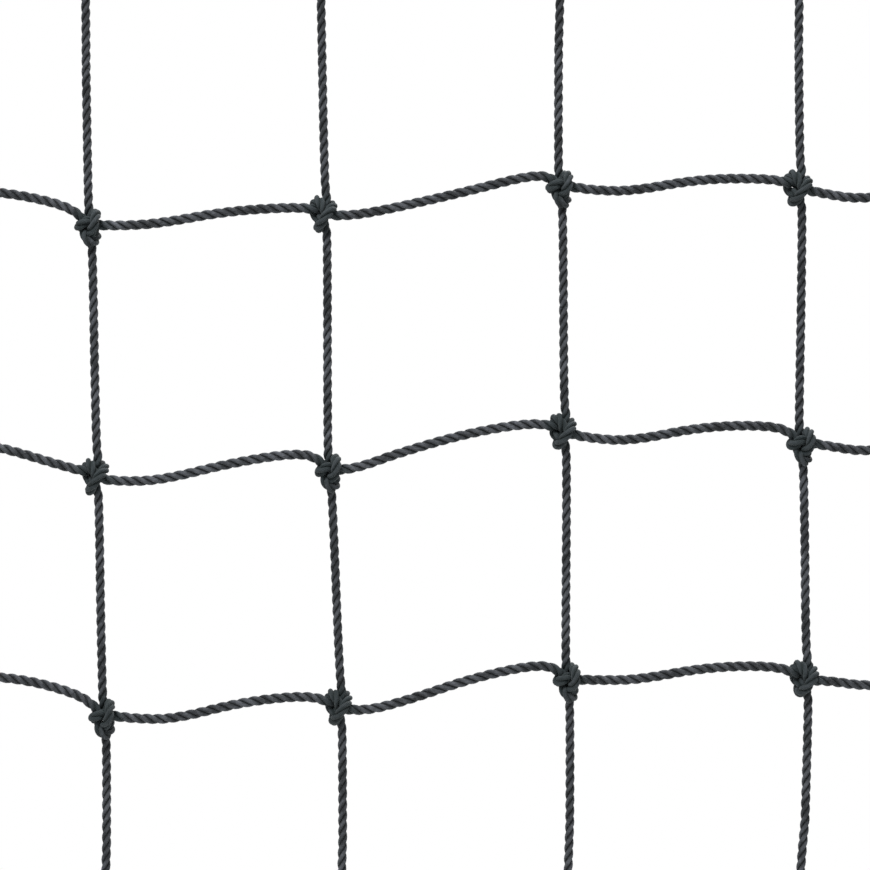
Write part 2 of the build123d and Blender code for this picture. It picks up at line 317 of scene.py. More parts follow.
def row_twine_route(step, row):
    """One twine in one row, from its upper right end to its lower left end."""
    dips = CROSS_DIPS[row - 1][step - 1]
    if step == 1:
        # the last twine to the left has no knot to go on to, so it is tied to the side rope
        loop = end_loop(left_loop_height(row), 1)
        into = [cut(1, row - 1), *up_to_left(1, row)]
        return [*into, *cross_points(loop[-1], into[-1], dips), *reversed(loop)]
    if step == COLUMNS + 1:
        loop = end_loop(right_loop_height(row), -1)
        out = [*right_to_down(COLUMNS, row), cut(COLUMNS, row)]
        return [*loop, *cross_points(out[0], loop[-1], dips), *out]
    into = [cut(step, row - 1), *up_to_left(step, row)]
    out = [*right_to_down(step - 1, row), cut(step - 1, row)]
    return [*into, *cross_points(out[0], into[-1], dips), *out]


def tied_at(column, row):
    """Where an upright twine is tied along the head rope, which is row 0, or the foot rope."""
    shifts = HEAD_SHIFTS if row == 0 else FOOT_SHIFTS
    return cut(column, row)[0] + shifts[column - 1] / 2 * MM


def upright_end_route(column, rope_z, row, downward):
    """A twine's end on the head rope (downward 1) or the foot rope (downward -1)."""
    x = tied_at(column, row)
    loop = [(x, y, rope_z - downward * reach) for reach, y in LOOP_PROFILE]
    return [*loop, cut(column, row)]


print("a row twine has", len(row_twine_route(2, 1)), "route points")

# %% [markdown]
# ## From a route to a smooth line
#
# A route is the control polygon of a NURBS spline. Order 3 gives the gentlest curve that still follows
# every point, and the end point flag makes it start and end on the first and last point. Blender works
# the line out for us: a curve object with no bevel turns into a mesh of edges, and its vertices are read
# in order. The line is then divided evenly, so that the strands come out the same size all along.

# %% Reading a smooth line
FEWEST_STEPS = 8


def smooth_line(points, spacing):
    """Points along the NURBS spline of a route, at an even spacing."""
    data = bpy.data.curves.new("route", "CURVE")
    data.dimensions = "3D"
    data.resolution_u = 24
    spline = data.splines.new("NURBS")
    spline.points.add(len(points) - 1)
    for point, place in zip(spline.points, points):
        point.co = (*place, 1.0)
    spline.order_u = 3
    spline.use_endpoint_u = True
    holder = bpy.data.objects.new("route", data)
    line = bpy.data.meshes.new_from_object(holder)
    found = np.empty(len(line.vertices) * 3)
    line.vertices.foreach_get("co", found)
    found = found.reshape(-1, 3)
    bpy.data.objects.remove(holder)
    bpy.data.curves.remove(data)
    bpy.data.meshes.remove(line)

    run = np.r_[0.0, np.cumsum(np.linalg.norm(np.diff(found, axis=0), axis=1))]
    count = max(FEWEST_STEPS, round(run[-1] / spacing))
    wanted = np.linspace(0.0, run[-1], count + 1)
    return np.column_stack([np.interp(wanted, run, found[:, axis]) for axis in range(3)]), run[-1]


line, line_length = smooth_line(row_twine_route(2, 1), 2 * MM)
print(f"a row twine is {line_length:.3f} m long, in {len(line) - 1} steps")

# %% [markdown]
# ## Laying a rope
#
# A laid rope is three strands wound round each other. In right-hand lay they climb like the middle of
# a Z. Each strand here is its own tube, a helix about the smooth line, because a bump on a plain tube
# would leave the outline straight, and the knobbly outline is what makes a rope look like one.
#
# The frame that carries the helix turns as little as it can from step to step. At a cut it has to
# arrive with one strand at the back, so what is missing is shared out along the whole piece, and the
# lay is stretched or tightened by a sixth of a turn at most.

# %% Strands of a laid rope
STRANDS = 3
LAY_IN_DIAMETERS = 3.3
# a strand's radius, and its centre line's distance from the rope's, as shares of the rope's diameter
STRAND_SHARE = 0.236
CENTRE_SHARE = 0.264
BACK = np.array([0.0, 1.0, 0.0])
NO_TURN = 1e-9


def unit(vectors):
    return vectors / np.linalg.norm(vectors, axis=-1, keepdims=True)


def carried_frames(line):
    """Directions along, out and across at each point, turning as little as possible."""
    ahead = unit(np.gradient(line, axis=0))
    out = np.empty_like(ahead)
    out[0] = unit(BACK - (BACK @ ahead[0]) * ahead[0])
    for i in range(1, len(line)):
        axis = np.cross(ahead[i - 1], ahead[i])
        size = np.linalg.norm(axis)
        turned = out[i - 1]
        if size > NO_TURN:
            angle = np.arctan2(size, ahead[i - 1] @ ahead[i])
            axis = axis / size
            turned = (turned * cos(angle) + np.cross(axis, turned) * sin(angle)
                      + axis * (axis @ turned) * (1 - cos(angle)))
        out[i] = unit(turned - (turned @ ahead[i]) * ahead[i])
    return ahead, out, np.cross(ahead, out)


def strand_lines(line, diameter, fullness):
    """Centre lines of the three strands, each with the directions out of the rope at its points."""
    ahead, out, across = carried_frames(line)
    step = np.linalg.norm(np.diff(line, axis=0), axis=1)
    run = np.r_[0.0, np.cumsum(step)]
    back = unit(BACK - (BACK @ ahead[-1]) * ahead[-1])
    arrives = np.arctan2(back @ across[-1], back @ out[-1])
    turns = run[-1] / (LAY_IN_DIAMETERS * diameter)
    third = 1 / STRANDS
    wanted = arrives / (2 * pi)
    turns = wanted + third * round((turns - wanted) / third)
    angle = 2 * pi * turns * run / run[-1]
    strands = []
    for k in range(STRANDS):
        a = angle + 2 * pi * k / STRANDS
        radial = out * np.cos(a)[:, None] + across * np.sin(a)[:, None]
        strands.append((line + radial * (CENTRE_SHARE * diameter * fullness)[:, None], radial))
    return strands


print("lay of the twine", LAY_IN_DIAMETERS * TWINE / MM, "mm")

# %% [markdown]
# ## A tube round a line
#
# Blender's curve bevel can't give each strand its own UV map with the yarns' slant in it, so the tube is
# built from rings of vertices. U runs along the strand in metres. V runs once round it, counted from the
# side that faces the rope's middle, with a slant added along U. A line of constant V is a yarn, and the
# slant lays it nearly along the rope, as yarns lie on a laid rope's crowns. The attribute "crown" is 1
# on the outside of the rope and 0 in the grooves between two strands. The twine's colour uses it for
# painted shade towards the grooves, and for a painted highlight mixed with real bleaching on the crowns.
# "knotted" is 1 in a knot and 0 along the free cord.

# %% Tubes with yarns in their UV map
SIDES = 12
# the part of a turn that V gains for each rope's diameter along a strand
YARN_SLANT = 0.34


def tube_rings(centre, radial, radius, sides=SIDES):
    """Rings of vertices round a centre line. radius has one value for each point."""
    ahead = unit(np.gradient(centre, axis=0))
    outward = unit(radial - np.sum(radial * ahead, axis=1, keepdims=True) * ahead)
    side = np.cross(ahead, outward)
    turn = pi + 2 * pi * np.arange(sides) / sides
    ring = (outward[:, None] * np.cos(turn)[None, :, None]
            + side[:, None] * np.sin(turn)[None, :, None])
    return centre[:, None] + ring * radius[:, None, None]


print("a strand has", SIDES, "sides")

# %% Collecting tubes into one mesh


class Weave:
    """Collects tubes and turns them into one mesh object."""

    def __init__(self):
        self.verts = []
        self.faces = []
        self.uvs = []
        self.crowns = []
        self.knots = []
        self.count = 0

    def tube(self, centre, radial, radius, sides=SIDES, slant=0.0, knotted=None):
        rings = tube_rings(centre, radial, radius, sides)
        steps = len(centre)
        run = np.r_[0.0, np.cumsum(np.linalg.norm(np.diff(centre, axis=0), axis=1))]
        i, k = np.meshgrid(np.arange(steps - 1), np.arange(sides), indexing="ij")
        i, k = i.ravel(), k.ravel()
        after = (k + 1) % sides
        base = self.count
        quads = np.column_stack([i * sides + k, i * sides + after, (i + 1) * sides + after,
                                 (i + 1) * sides + k]) + base
        v0, v1 = k / sides, (k + 1) / sides
        u0, u1 = run[i], run[i + 1]
        corners = [(u0, v0), (u0, v1), (u1, v1), (u1, v0)]
        uv = np.stack([np.column_stack([u, v + slant * u]) for u, v in corners], axis=1)
        self.verts.append(rings.reshape(-1, 3))
        self.faces.extend(quads.tolist())
        self.uvs.append(uv.reshape(-1, 2))
        # 1 on the outside of the rope and 0 facing its middle: the mask for the twine's painted shade
        # and painted highlight
        crown = 0.5 - 0.5 * np.cos(2 * pi * np.arange(sides) / sides)
        self.crowns.append(np.tile(crown, steps))
        knotted = np.zeros(steps) if knotted is None else knotted
        self.knots.append(np.repeat(knotted, sides))
        self.count += steps * sides
        self.close(centre[0], rings[0], base, -1, run[0], knotted[0])
        self.close(centre[-1], rings[-1], base + (steps - 1) * sides, 1, run[-1], knotted[-1])

    def close(self, middle, ring, first, facing, run, knotted):
        """A fan of triangles over the end of a tube."""
        sides = len(ring)
        self.verts.append(middle[None])
        self.crowns.append(np.zeros(1))
        self.knots.append(np.array([knotted]))
        tip = self.count
        self.count += 1
        for k in range(sides):
            a, b = first + k, first + (k + 1) % sides
            self.faces.append([a, b, tip] if facing > 0 else [b, a, tip])
            self.uvs.append(np.array([[run, k / sides], [run, (k + 1) / sides], [run, k / sides]]))

    def finish(self, name, material):
        mesh = bpy.data.meshes.new(name)
        mesh.from_pydata(np.vstack(self.verts).tolist(), [], self.faces)
        layer = mesh.uv_layers.new(name="along")
        layer.data.foreach_set("uv", np.vstack(self.uvs).astype(np.float32).ravel())
        for attribute, values in (("crown", self.crowns), ("knotted", self.knots)):
            layer = mesh.attributes.new(attribute, "FLOAT", "POINT")
            layer.data.foreach_set("value", np.concatenate(values).astype(np.float32))
        # the ends are flat, so that they don't bend the light at the rim where two pieces meet
        mesh.polygons.foreach_set("use_smooth", [len(face) == 4 for face in self.faces])
        mesh.materials.append(material)
        mesh.update()
        piece = bpy.data.objects.new(name, mesh)
        bpy.context.scene.collection.objects.link(piece)
        return piece


print("ready to weave tubes into pieces")

# %% [markdown]
# ## One function adds a node
#
# Materials are node graphs. This helper makes a node, sets its plain properties and input values, and
# links the outputs that are given as inputs, so that a material reads from top to bottom.

# %% Material helpers


def linear(hex_colour):
    """An sRGB hex colour as the linear values that the shader works in."""
    channels = [int(hex_colour[i:i + 2], 16) / 255 for i in (1, 3, 5)]
    return (*[c / 12.92 if c <= 0.04045 else ((c + 0.055) / 1.055) ** 2.4 for c in channels], 1.0)


def add_node(tree, kind, inputs=None, **settings):
    node = tree.nodes.new(kind)
    for name, value in settings.items():
        setattr(node, name, value)
    for name, value in (inputs or {}).items():
        socket = node.inputs[name]
        if isinstance(value, bpy.types.NodeSocket):
            tree.links.new(value, socket)
        else:
            socket.default_value = value
    return node


def new_material(name):
    material = bpy.data.materials.new(name)
    material.use_nodes = True
    tree = material.node_tree
    tree.nodes.clear()
    return material, tree


def ramp(tree, fac, stops):
    """A colour ramp: stops are (position, linear colour)."""
    node = add_node(tree, "ShaderNodeValToRGB", {"Fac": fac})
    elements = node.color_ramp.elements
    while len(elements) < len(stops):
        elements.new(0.5)
    for element, (position, colour) in zip(elements, stops):
        element.position = position
        element.color = colour
    return node.outputs["Color"]


# %% [markdown]
# ## Weathered laid twine, with painted shade and highlight
#
# The twine is spun polypropylene, charcoal with a green cast. Weather roughens it, and the crowns of the
# strands bleach to a dusty grey. The colour also holds painted light: it darkens towards the grooves
# between the strands as painted shade, and the crowns' grey is partly a painted highlight. Each strand
# shows about ten yarns, 1.5 mm across, which the V of the UV map counts.
# 3 mm by half a millimetre, which is coarser than real fibres so that it shows. A sheen stands for the
# fuzz that catches light at the edges.

# %% Twine and rope finishes


def laid_fibre(name, painted_groove_shade, body, crown, knot, yarns, fibre_depth=0.00035):
    material, tree = new_material(name)
    uv = add_node(tree, "ShaderNodeUVMap", uv_map="along").outputs["UV"]
    place = add_node(tree, "ShaderNodeTexCoord").outputs["Object"]
    height = add_node(tree, "ShaderNodeAttribute", attribute_name="crown").outputs["Fac"]

    # one wave along V is one yarn: a sine wave's period is 2 pi / 20 of the texture's unit
    yarn = add_node(tree, "ShaderNodeTexWave", {
        "Vector": uv, "Scale": yarns * 2 * pi / 20, "Distortion": 0.6, "Detail": 1.0,
        "Detail Scale": 2.0}, wave_type="BANDS", bands_direction="Y", wave_profile="SIN")
    stretched = add_node(tree, "ShaderNodeMapping", {"Vector": uv, "Scale": (300.0, 30.0, 1.0)})
    fibre = add_node(tree, "ShaderNodeTexNoise", {
        "Vector": stretched.outputs["Vector"], "Scale": 1.0, "Detail": 3.0, "Roughness": 0.6})
    # patches of dust and bleaching a few centimetres long, which also carry the painted highlight on the
    # crowns, and specks of about 3 mm
    patch = add_node(tree, "ShaderNodeTexNoise", {
        "Vector": place, "Scale": 38.0, "Detail": 3.0, "Roughness": 0.6})
    speck = add_node(tree, "ShaderNodeTexNoise", {
        "Vector": place, "Scale": 330.0, "Detail": 2.0, "Roughness": 0.5})

    # painted light: the crowns lighten in patches, a painted highlight mixed with real bleaching
    crown_highlight_and_wear = add_node(tree, "ShaderNodeMath", {0: height, 1: patch.outputs["Fac"]}, operation="MULTIPLY")
    crown_highlight_and_wear = add_node(tree, "ShaderNodeMath", {0: crown_highlight_and_wear.outputs[0], 1: 1.35, 2: -0.02},
                    operation="MULTIPLY_ADD")
    mixed = add_node(tree, "ShaderNodeMath", {0: speck.outputs["Fac"], 1: 0.55, 2: -0.27},
                     operation="MULTIPLY_ADD")
    shade_highlight_and_wear = add_node(tree, "ShaderNodeMath", {0: crown_highlight_and_wear.outputs[0], 1: mixed.outputs[0]},
                    operation="ADD")
    # the dark end is painted shade towards the grooves, the light end a painted highlight with bleaching
    # on the crowns
    colour = ramp(tree, shade_highlight_and_wear.outputs[0], [
        (0.02, linear(painted_groove_shade)), (0.38, linear(body)), (0.95, linear(crown))])
    shade = add_node(tree, "ShaderNodeMapRange", {
        "Value": fibre.outputs["Fac"], "From Min": 0.3, "From Max": 0.7, "To Min": 0.72, "To Max": 1.25})
    tinted = add_node(tree, "ShaderNodeVectorMath", {0: colour, 1: shade.outputs["Result"]},
                      operation="MULTIPLY")
    # a knot's strands are pressed flat and keep the dye's green, so the crowns there stay dark
    knotted = add_node(tree, "ShaderNodeAttribute", attribute_name="knotted").outputs["Fac"]
    share = add_node(tree, "ShaderNodeMath", {0: knotted, 1: 0.7}, operation="MULTIPLY")
    tinted = add_node(tree, "ShaderNodeMix", {
        "Factor": share.outputs[0], 6: tinted.outputs["Vector"], 7: linear(knot)},
        data_type="RGBA")

    relief = add_node(tree, "ShaderNodeMath", {
        0: yarn.outputs["Fac"], 1: fibre.outputs["Fac"]}, operation="ADD")
    bump = add_node(tree, "ShaderNodeBump", {
        "Height": relief.outputs[0], "Strength": 0.9, "Distance": fibre_depth})
    rough = add_node(tree, "ShaderNodeMapRange", {
        "Value": patch.outputs["Fac"], "From Min": 0.3, "From Max": 0.7, "To Min": 0.68, "To Max": 0.9})
    shader = add_node(tree, "ShaderNodeBsdfPrincipled", {
        "Base Color": tinted.outputs[2], "Roughness": rough.outputs["Result"],
        "Normal": bump.outputs["Normal"], "IOR": 1.49, "Specular IOR Level": 0.35,
        "Sheen Weight": 0.12, "Sheen Roughness": 0.5, "Sheen Tint": linear("#AEB8B6")})
    add_node(tree, "ShaderNodeOutputMaterial", {"Surface": shader.outputs["BSDF"]})
    return material


# the first colour is painted shade in the grooves, the third a painted highlight with bleaching on the
# crowns
laid_twine = laid_fibre("weathered_laid_twine_with_painted_light", "#0F1115", "#181B1F", "#55585E", "#152224", 10)
laid_rope = laid_fibre("weathered_laid_rope_with_painted_light", "#0F1115", "#171A1E", "#505459", "#152224", 12, 0.0005)
print("twine and rope finishes made")

# %% [markdown]
# ## Waxed whipping twine
#
# The whippings and seizings are tight turns of thin waxed twine. Wax makes it darker and a little
# glossier than the rope. Each turn is real geometry, so the material only adds the fine twist.

# %% Whipping finish


def waxed_thread():
    material, tree = new_material("waxed_whipping_twine")
    uv = add_node(tree, "ShaderNodeUVMap", uv_map="along").outputs["UV"]
    place = add_node(tree, "ShaderNodeTexCoord").outputs["Object"]
    # the thread's own twist: one ply every 4 mm along it
    slanted = add_node(tree, "ShaderNodeMapping", {"Vector": uv, "Scale": (500.0, 1.0, 1.0)})
    ply = add_node(tree, "ShaderNodeTexWave", {
        "Vector": slanted.outputs["Vector"], "Scale": 2 * pi / 20, "Distortion": 0.3},
        wave_type="BANDS", bands_direction="DIAGONAL", wave_profile="SIN")
    dust = add_node(tree, "ShaderNodeTexNoise", {"Vector": place, "Scale": 240.0, "Detail": 3.0})
    colour = ramp(tree, dust.outputs["Fac"], [
        (0.3, linear("#0D1011")), (0.55, linear("#1B1F20")), (0.8, linear("#3A4040"))])
    bump = add_node(tree, "ShaderNodeBump", {
        "Height": ply.outputs["Fac"], "Strength": 0.6, "Distance": 0.0002})
    shader = add_node(tree, "ShaderNodeBsdfPrincipled", {
        "Base Color": colour, "Roughness": 0.48, "Normal": bump.outputs["Normal"],
        "IOR": 1.45, "Coat Weight": 0.15, "Coat Roughness": 0.35})
    add_node(tree, "ShaderNodeOutputMaterial", {"Surface": shader.outputs["BSDF"]})
    return material


waxed = waxed_thread()
print("whipping finish made")

# %% [markdown]
# ## Melted ends
#
# A synthetic twine is cut with a hot knife, so its end is a hard, dark, glossy button of melted fibre.

# %% Melted finish


def melted_fibre():
    material, tree = new_material("melted_polypropylene")
    place = add_node(tree, "ShaderNodeTexCoord").outputs["Object"]
    blister = add_node(tree, "ShaderNodeTexNoise", {"Vector": place, "Scale": 420.0, "Detail": 3.0})
    colour = ramp(tree, blister.outputs["Fac"], [(0.3, linear("#0E1112")), (0.75, linear("#2A3132"))])
    bump = add_node(tree, "ShaderNodeBump", {
        "Height": blister.outputs["Fac"], "Strength": 0.7, "Distance": 0.0006})
    shader = add_node(tree, "ShaderNodeBsdfPrincipled", {
        "Base Color": colour, "Roughness": 0.3, "Normal": bump.outputs["Normal"], "IOR": 1.49})
    add_node(tree, "ShaderNodeOutputMaterial", {"Surface": shader.outputs["BSDF"]})
    return material


melted = melted_fibre()
print("melted finish made")

# %% [markdown]
# ## Galvanised thimbles
#
# The thimbles are cast steel dipped in zinc. Zinc sets in spangles, crystals a few millimetres across
# that differ a little in tone, and the dip leaves a faintly uneven skin that varies in gloss. The CAD
# shape is right as it is, so those nodes stay and only get this finish.

# %% Thimble finish


def galvanised_steel():
    material, tree = new_material("galvanised_steel")
    place = add_node(tree, "ShaderNodeTexCoord").outputs["Object"]
    spangle = add_node(tree, "ShaderNodeTexVoronoi", {"Vector": place, "Scale": 360.0})
    skin = add_node(tree, "ShaderNodeTexNoise", {"Vector": place, "Scale": 90.0, "Detail": 4.0})
    colour = ramp(tree, spangle.outputs["Color"], [
        (0.1, linear("#8B8F90")), (0.6, linear("#9DA2A3")), (1.0, linear("#B2B6B6"))])
    rough = add_node(tree, "ShaderNodeMapRange", {
        "Value": skin.outputs["Fac"], "From Min": 0.3, "From Max": 0.7, "To Min": 0.32, "To Max": 0.55})
    bump = add_node(tree, "ShaderNodeBump", {
        "Height": skin.outputs["Fac"], "Strength": 0.4, "Distance": 0.0004})
    shader = add_node(tree, "ShaderNodeBsdfPrincipled", {
        "Base Color": colour, "Metallic": 1.0, "Roughness": rough.outputs["Result"],
        "Normal": bump.outputs["Normal"]})
    add_node(tree, "ShaderNodeOutputMaterial", {"Surface": shader.outputs["BSDF"]})
    return material


zinc = galvanised_steel()
for name, node in frame["nodes"].items():
    if name.startswith("thimble"):
        node.data.materials.clear()
        node.data.materials.append(zinc)
print("thimbles finished")

# %% [markdown]
# ## Making the twines
#
# In a knot the cords are pressed together and spread sideways, so the strands are drawn a little fuller
# there and close up the gaps. The upright legs carry the weight and are stretched thinner than the
# cross cords. A cut tail ends in a melted button.

# %% Laying one piece of twine or rope
STEP = 1.6 * MM
KNOT_SPREAD = 0.06
KNOT_REACH = 2.4 * TWINE
KNOT_EDGE = 2.2             # how soon a knot's fullness is reached, from its edge inwards
SLACK_SHARE = 1.04
TIGHT_SHARE = 0.94
BUTTON_FLATNESS = 0.42
knot_middles = np.array([
    (knot_middle(c, r)[0], 0.0, knot_middle(c, r)[1])
    for r in range(1, ROWS + 1) for c in range(1, COLUMNS + 1)])


def in_knot(line):
    """1 in a knot, 0 along the free cord."""
    near = np.min(np.linalg.norm(line[:, None] - knot_middles[None], axis=2), axis=1)
    return np.minimum(1, KNOT_EDGE * np.clip(1 - near / KNOT_REACH, 0, 1))


def pull(line):
    """How thick the free twine is drawn: thinner, the more upright it runs."""
    ahead = unit(np.gradient(line, axis=0))
    return SLACK_SHARE - (SLACK_SHARE - TIGHT_SHARE) * ahead[:, 2] ** 2


def lay(name, route, diameter, material, has_knots=True):
    """A three-strand cord along a route, as one mesh."""
    line, length = smooth_line(route, STEP * diameter / TWINE)
    knotted = in_knot(line) if has_knots else np.zeros(len(line))
    fullness = (1 + KNOT_SPREAD * knotted) * (pull(line) if has_knots else 1.0)
    weave = Weave()
    for centre, radial in strand_lines(line, diameter, fullness):
        weave.tube(centre, radial, STRAND_SHARE * diameter * fullness,
                   slant=YARN_SLANT / diameter, knotted=knotted)
    piece = weave.finish(name, material)
    print(f"{name}: {length:.3f} m, {len(piece.data.polygons)} faces")
    return piece


def melted_button(name, at, direction):
    """The hot-cut end of a twine: a flattened ball, as wide as the twine."""
    bpy.ops.object.select_all(action="DESELECT")
    bpy.ops.mesh.primitive_uv_sphere_add(
        segments=20, ring_count=12, radius=TWINE / 2, location=at,
        rotation=Vector(direction).to_track_quat("Z", "Y").to_euler())
    button = bpy.context.object
    button.name = name
    button.scale = (1.0, 1.0, BUTTON_FLATNESS)
    bpy.ops.object.transform_apply(location=True, rotation=True, scale=True)
    bpy.ops.object.shade_smooth()
    button.data.uv_layers[0].name = "along"
    button.data.materials.append(melted)
    return button


# %% [markdown]
# A piece crosses one fold line at most. It is not bent there: the function below only bakes its place.


def bend_at_fold(piece, fold_row):
    """Bake a piece's place by the fold line below a row, unbent; row 0 is the one below the head rope.
    """
    joint = folds[FOLDS[fold_row]]
    axis = np.array(joint["axis"])
    down = np.cross(axis, BACK)
    down = down / np.linalg.norm(down)
    if down[2] > 0:
        down = -down
    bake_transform(piece)


def join(pieces):
    """Join mesh objects into the first one."""
    bpy.ops.object.select_all(action="DESELECT")
    for piece in pieces:
        piece.select_set(True)
    bpy.context.view_layer.objects.active = pieces[0]
    bpy.ops.object.join()
    return pieces[0]


# %% [markdown]
# ## The seven mesh twines
#
# Each twine is one length in the real net. Here it is one piece for each band, cut in the middle of an
# upright leg, where the pieces meet end to end with their strands in line.

# %% Row twines
for row in range(1, ROWS + 1):
    for step in range(1, COLUMNS + 2):
        twine = step + row - 1
        route = row_twine_route(step, row)
        piece = lay(f"laid_twine_{twine}_row_{row}", route, TWINE, laid_twine)
        if step in (1, COLUMNS + 1):
            tail = route[-1] if step == 1 else route[0]
            piece = join([piece, melted_button("tip", tail, (1, 0, 0))])
        # the twine that is tied to the left side rope ends above the fold line
        if step == 1:
            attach(piece, BANDS[row])
        else:
            bend_at_fold(piece, row)
        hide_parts(f"mesh_twine_{twine}_row_{row}")

# %% Twine ends on the head and foot ropes
for column in range(1, COLUMNS + 1):
    route = upright_end_route(column, 0.0, 0, 1)
    piece = lay(f"laid_twine_{column}_head", route, TWINE, laid_twine)
    piece = join([piece, melted_button("tip", route[0], (0, 0, 1))])
    bend_at_fold(piece, 0)
    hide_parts(f"mesh_twine_{column}_head")

    route = upright_end_route(column, FOOT_Z, ROWS, -1)
    piece = lay(f"laid_twine_{column + ROWS}_foot", route, TWINE, laid_twine)
    piece = join([piece, melted_button("tip", route[0], (0, 0, 1))])
    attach(piece, "foot_band")
    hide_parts(f"mesh_twine_{column + ROWS}_foot")

# %% [markdown]
# ## The border rope
#
# The border is thicker rope of the same lay. At each corner it turns out to the eye, runs beside itself
# through the seizing, parts and goes round the thimble. The corners of its route are the corners of
# the tangents there, so they follow from the thimble's place and the bends' sizes.

# %% Route round an eye
DIAGONAL = 0.5 ** 0.5
NECK_SIDE = ROPE / 2 + TOUCH / 2
NECK_LENGTH = 26 * MM
CORNER_BEND = 32 * MM
FLARE_BEND = 20 * MM
FLARE = radians(30)
WRAP_CORNERS = 5
EASE_RUN = 26 * MM
SEIZING_LENGTH = 22 * MM
CUT_BELOW_FOLD = 80 * MM

CORNER_TANGENT = CORNER_BEND * tan(pi / 8)
NECK_START = CORNER_TANGENT - NECK_SIDE
FLARE_CORNER = NECK_START + NECK_LENGTH + FLARE_BEND * tan(FLARE / 2)


def eye_frame(side, up):
    """The net's corner, the way out along its diagonal, and the way across from first to last leg."""
    x, z = side * HALF_WIDTH, 0.0 if up > 0 else FOOT_Z
    out = np.array([side, 0.0, up]) * DIAGONAL
    # going clockwise round the net, the first leg lies to the left of the way out
    left = np.cross(np.array([0.0, -1.0, 0.0]), out)
    return np.array([x, 0.0, z]), out, left


def eye_route(side, up):
    """Corners from the border's first straight, round the eye, to its next straight."""
    corner, out, left = eye_frame(side, up)
    name = f"eye_{'top' if up > 0 else 'bottom'}_{'left' if side < 0 else 'right'}"
    centre = np.array(mounts[name]["pos_m"])
    eye_out = (centre - corner) @ out
    reach = eye_out - FLARE_CORNER
    radius = reach * sin(FLARE) + NECK_SIDE * cos(FLARE)
    wrap = pi + 2 * FLARE
    half_step = wrap / WRAP_CORNERS / 2
    near = -NECK_SIDE - EASE_RUN * DIAGONAL
    points = [(near, -near), (-NECK_SIDE, NECK_SIDE), (NECK_START + NECK_LENGTH / 2, NECK_SIDE),
              (FLARE_CORNER, NECK_SIDE)]
    first = pi / 2 + FLARE
    for k in range(WRAP_CORNERS):
        angle = first - half_step * (2 * k + 1)
        points.append((eye_out + radius / cos(half_step) * cos(angle),
                       radius / cos(half_step) * sin(angle)))
    points += [(FLARE_CORNER, -NECK_SIDE), (NECK_START + NECK_LENGTH / 2, -NECK_SIDE),
               (-NECK_SIDE, -NECK_SIDE), (near, near)]
    return [tuple(corner + out * u + left * v) for u, v in points]


def fold_z(fold_row, x):
    joint = folds[FOLDS[fold_row]]
    return joint["pos_m"][2] + joint["axis"][2] / joint["axis"][0] * x


def side_cut(fold_row, x):
    """Where one band's side rope meets the next one's, a hand's width below the fold line."""
    return x, 0.0, fold_z(fold_row, x) - CUT_BELOW_FOLD


# %% Head, foot and side ropes
head_route = [side_cut(0, -HALF_WIDTH), *eye_route(-1, 1), *eye_route(1, 1), side_cut(0, HALF_WIDTH)]
head = lay("laid_head_rope", head_route, ROPE, laid_rope, has_knots=False)
bend_at_fold(head, 0)
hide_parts("head_rope", "corner_rope_top_left", "corner_rope_top_right")

foot_route = [side_cut(3, HALF_WIDTH), *eye_route(1, -1), *eye_route(-1, -1),
              side_cut(3, -HALF_WIDTH)]
foot = lay("laid_foot_rope", foot_route, ROPE, laid_rope, has_knots=False)
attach(foot, "foot_band")
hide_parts("foot_rope", "corner_rope_bottom_left", "corner_rope_bottom_right")

for side, x in (("left", -HALF_WIDTH), ("right", HALF_WIDTH)):
    for row in range(1, ROWS + 1):
        top, bottom = side_cut(row - 1, x), side_cut(row, x)
        route = [top, (x, 0.0, (top[2] + bottom[2]) / 2), bottom]
        piece = lay(f"laid_{side}_rope_row_{row}", route, ROPE, laid_rope, has_knots=False)
        bend_at_fold(piece, row)
        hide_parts(f"{side}_side_rope_row_{row}")

# %% [markdown]
# ## Whippings and seizings
#
# A whipping is a tight winding of thin twine round two cords that lie side by side. Its turns are a
# helix whose ring is a stadium: two half circles and two straights. Each turn sits against the last.

# %% The way round a pair of cords


def stadium(share, half_gap, radius):
    """A point and its outward direction at a share of the way round a pair of cords."""
    straight, arc = 2 * half_gap, pi * radius
    place = (share % 1.0) * 2 * (straight + arc)
    if place < straight:
        return (place - half_gap, radius), (0.0, 1.0)
    place -= straight
    if place < arc:
        a = pi / 2 - place / radius
        return (half_gap + radius * cos(a), radius * sin(a)), (cos(a), sin(a))
    place -= arc
    if place < straight:
        return (half_gap - place, -radius), (0.0, -1.0)
    place -= straight
    a = -pi / 2 - place / radius
    return (-half_gap + radius * cos(a), radius * sin(a)), (cos(a), sin(a))


print("half way round:", stadium(0.5, LAY_SIDE, LAY_SIDE)[1], "is the way out")

# %% Winding turns round a pair of cords
STEPS_PER_TURN = 30
THREAD_SIDES = 6
THREAD_RADIUS_SHARE = 0.52  # a little over half the spacing, so that the turns touch


def winding(weave, middle, along, across, length, half_gap, cord_radius, thread):
    """Adds tight turns of thread round two cords to a weave."""
    middle, along, across = (np.array(v, float) for v in (middle, along, across))
    third = np.cross(along, across)
    turns = int(length / thread)
    count = turns * STEPS_PER_TURN
    radius = cord_radius + thread / 2
    centres, outs = np.empty((count + 1, 3)), np.empty((count + 1, 3))
    for i in range(count + 1):
        (a, b), (oa, ob) = stadium(i / STEPS_PER_TURN, half_gap, radius)
        drift = (i / count - 0.5) * (length - thread)
        centres[i] = middle + across * a + third * b + along * drift
        outs[i] = across * oa + third * ob
    weave.tube(centres, outs, np.full(count + 1, thread * THREAD_RADIUS_SHARE), sides=THREAD_SIDES)


